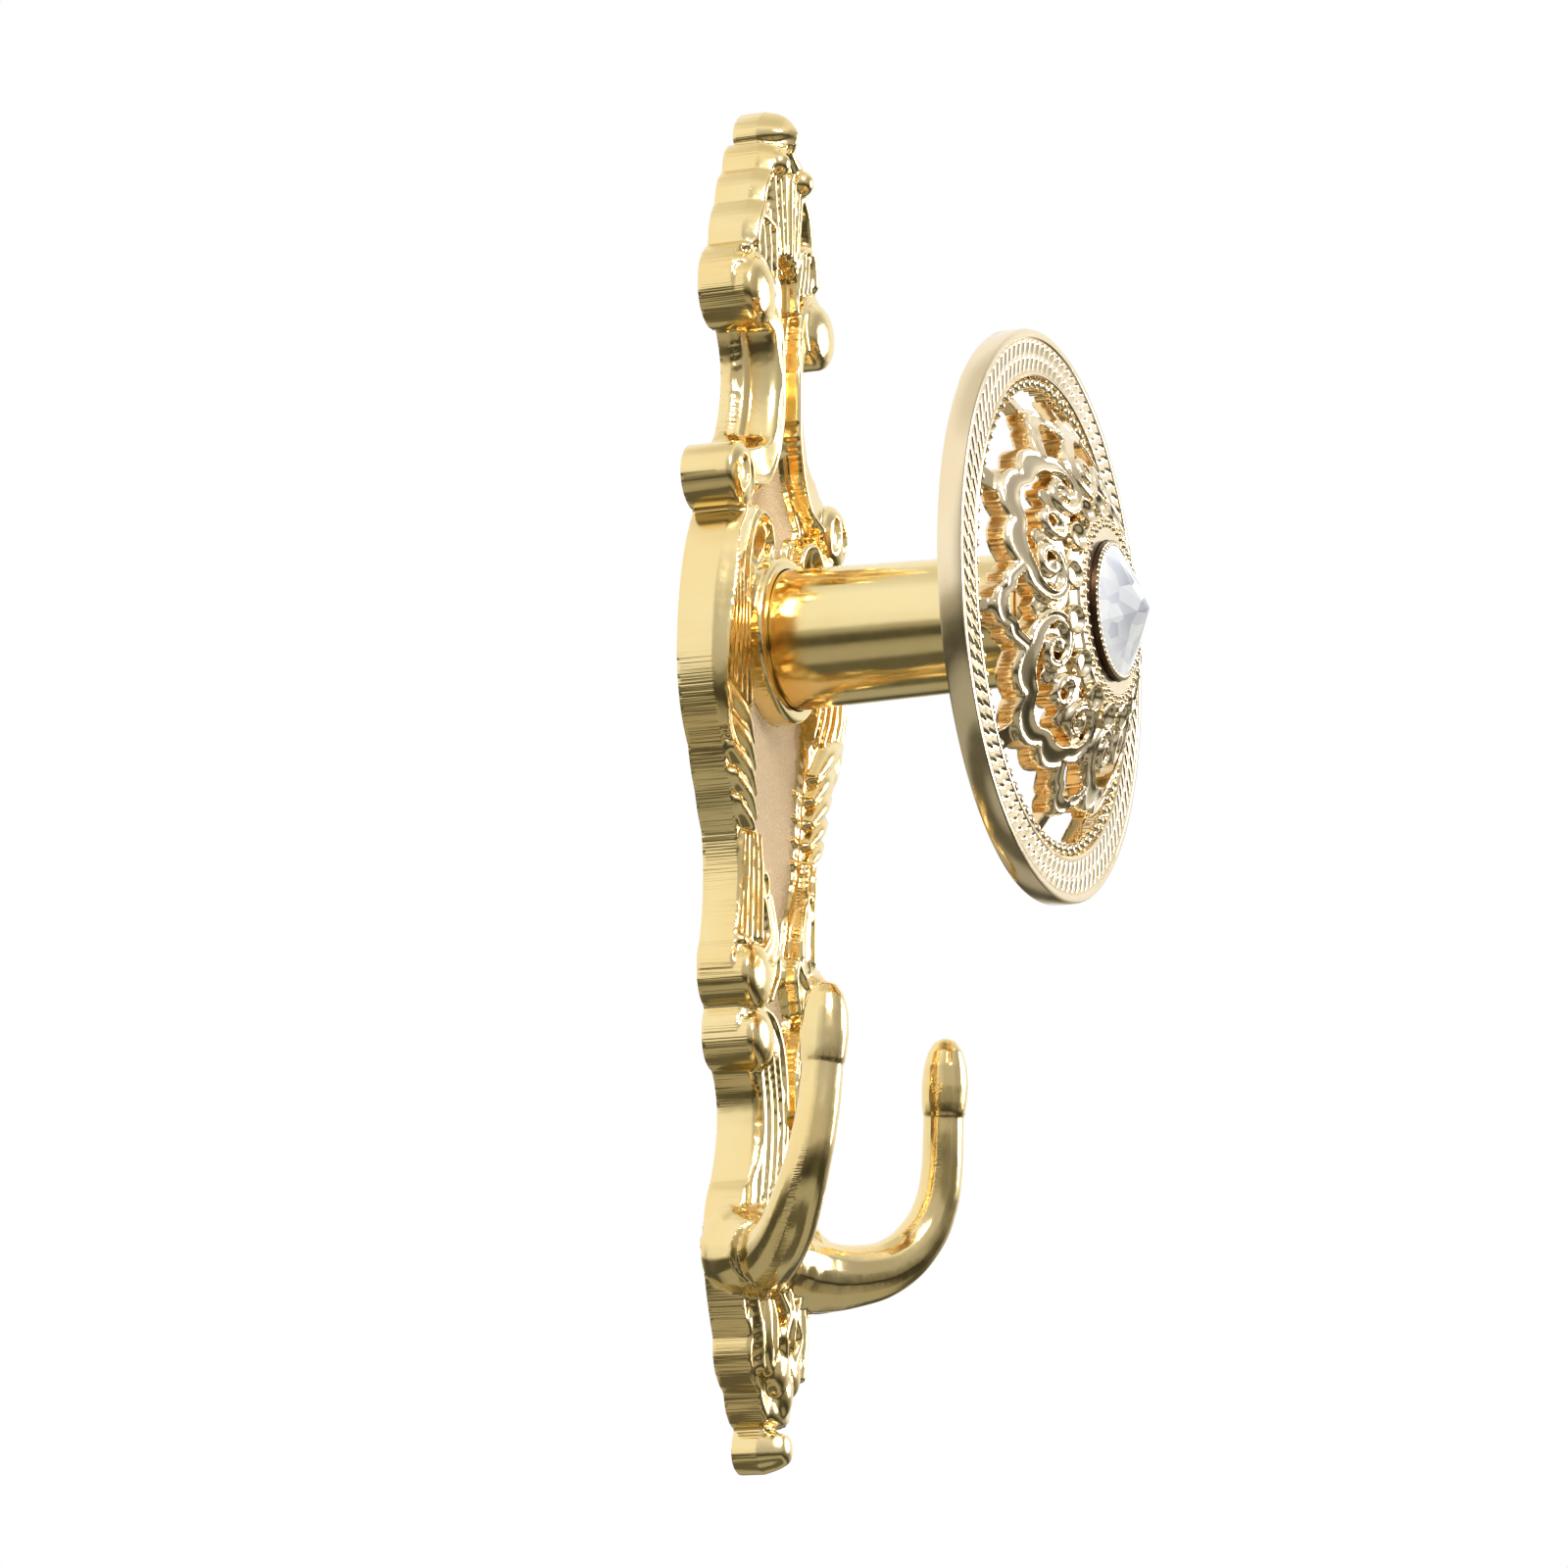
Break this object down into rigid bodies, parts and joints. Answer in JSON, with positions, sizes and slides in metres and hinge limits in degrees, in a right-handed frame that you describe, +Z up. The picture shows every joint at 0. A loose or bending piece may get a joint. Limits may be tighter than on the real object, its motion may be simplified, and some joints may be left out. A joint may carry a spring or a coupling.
{
  "type": "curtain holdback",
  "caption": "Gilt wall hook for tying back a curtain: scroll-edged plate with coat-style hooks below, round post, openwork disc with a faceted crystal.",
  "frame": {"origin": "on the wall, where the post's axis meets the back face of the plate", "axes": "+Z up the plate to its finial, -Y out of the wall along the post to the crystal, X across the plate"},
  "size_m": [0.0732, 0.0553, 0.18],
  "materials": {
    "plate_gold": "polished gold plating on a casting, with a matt grained field",
    "post_gold": "polished gold plating",
    "rosette_gold": "pale champagne gold plating, polished, with an engraved matt band",
    "cup_gold": "polished",
    "steel": "zinc plated",
    "crystal": "cut glass with a silvered back"
  },
  "bodies": {
    "root": {"backplate": "plate_gold", "post": "post_gold", "centre_screw": "steel", "rosette_stud": "steel", "rosette": "rosette_gold", "crystal_cup": "cup_gold", "crystal": "crystal"}
  },
  "joints": []
}
